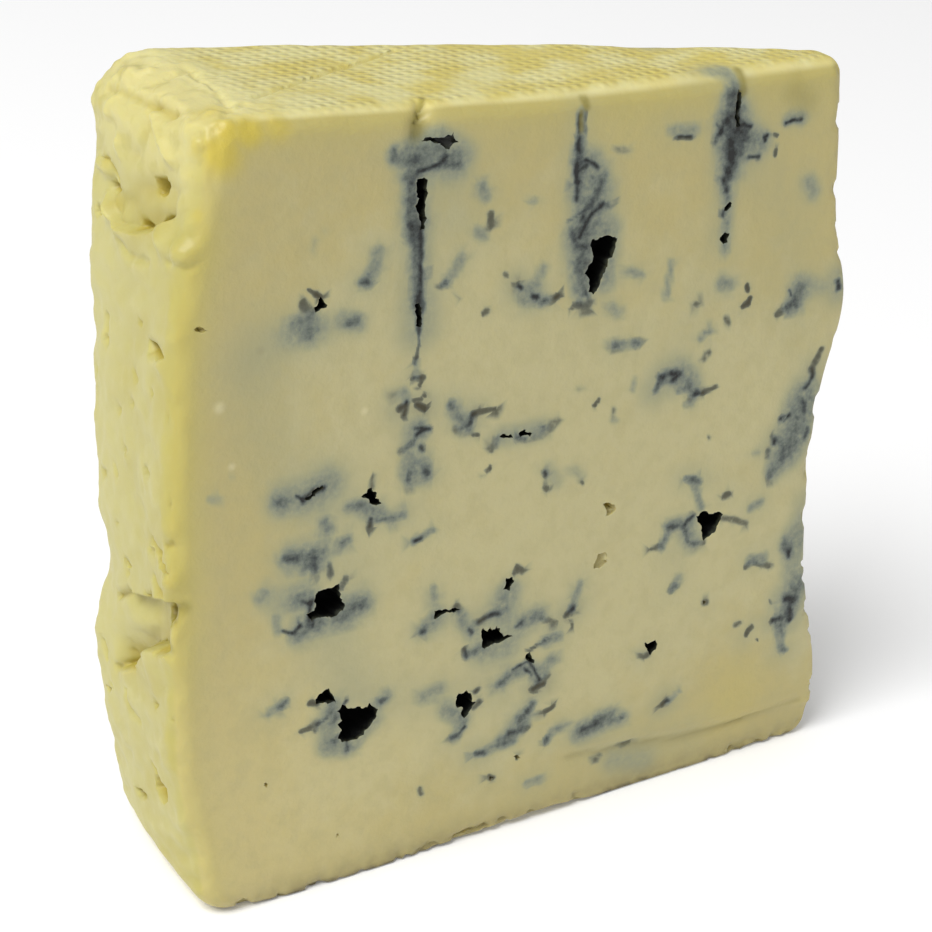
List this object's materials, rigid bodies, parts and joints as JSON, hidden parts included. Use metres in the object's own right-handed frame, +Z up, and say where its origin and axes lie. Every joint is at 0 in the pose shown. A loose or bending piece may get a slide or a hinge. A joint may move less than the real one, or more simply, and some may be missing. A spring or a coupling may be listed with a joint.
{
  "type": "blue cheese wedge",
  "caption": "Wedge cut from a drum-shaped wheel of blue-veined cheese, standing on its base, with a pitted rind, open eyes and needle tracks.",
  "frame": {"origin": "middle of the bounding box at the base", "axes": "+Z up from the base, +X along the cut face from the rind to the tip, +Y from the shown cut face towards the back cut"},
  "size_m": [0.101, 0.034, 0.1045],
  "materials": {
    "cheese": "soft moist paste with blue-grey mould veins, and a waxy yellow rind"
  },
  "bodies": {
    "root": {"cheese_wedge": "cheese"}
  },
  "joints": []
}
